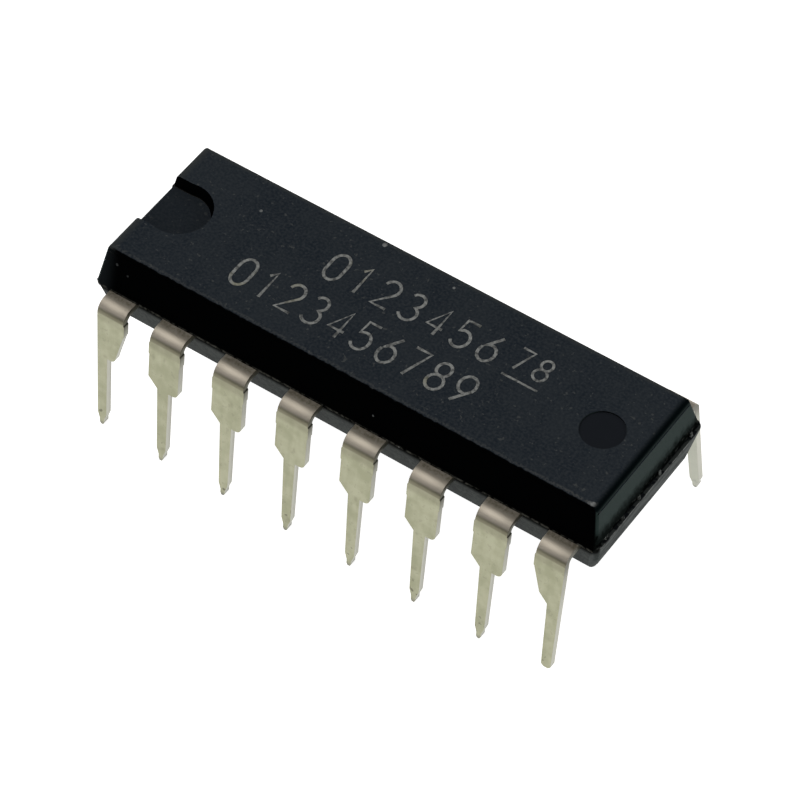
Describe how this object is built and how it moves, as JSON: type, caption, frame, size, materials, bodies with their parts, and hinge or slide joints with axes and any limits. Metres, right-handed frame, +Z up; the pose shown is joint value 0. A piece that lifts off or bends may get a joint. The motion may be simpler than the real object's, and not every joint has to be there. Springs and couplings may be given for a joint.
{
  "type": "dual in-line integrated circuit",
  "caption": "Dual in-line integrated circuit: a long moulded resin body with an end notch and two rows of bent, plated leads that plug into a board or socket.",
  "frame": {"origin": "at the level of the lead tips, under the middle of the body's upper half", "axes": "+X along the body from the notch end to the ejector mark end, +Y across the body towards leads 9 to 16, +Z up from the lead tips to the marked face"},
  "size_m": [0.0196, 0.0094, 0.007],
  "materials": {
    "resin": "matt black epoxy moulding compound",
    "plated_lead": "dull tin plating on a copper alloy sheet",
    "lead_frame": "copper alloy with silver plating",
    "attach": "silver-filled epoxy",
    "silicon": "polished silicon with a glass coat",
    "gold_wire": "bare gold"
  },
  "bodies": {
    "root": {"package_body": "resin", "lead_01": "plated_lead", "lead_02": "plated_lead", "lead_03": "plated_lead", "lead_04": "plated_lead", "lead_05": "plated_lead", "lead_06": "plated_lead", "lead_07": "plated_lead", "lead_08": "plated_lead", "lead_09": "plated_lead", "lead_10": "plated_lead", "lead_11": "plated_lead", "lead_12": "plated_lead", "lead_13": "plated_lead", "lead_14": "plated_lead", "lead_15": "plated_lead", "lead_16": "plated_lead", "die_paddle": "lead_frame", "die_attach": "attach", "die": "silicon", "bond_wire_01": "gold_wire", "bond_wire_02": "gold_wire", "bond_wire_03": "gold_wire", "bond_wire_04": "gold_wire", "bond_wire_05": "gold_wire", "bond_wire_06": "gold_wire", "bond_wire_07": "gold_wire", "bond_wire_08": "gold_wire", "bond_wire_09": "gold_wire", "bond_wire_10": "gold_wire", "bond_wire_11": "gold_wire", "bond_wire_12": "gold_wire", "bond_wire_13": "gold_wire", "bond_wire_14": "gold_wire", "bond_wire_15": "gold_wire", "bond_wire_16": "gold_wire"}
  },
  "joints": []
}
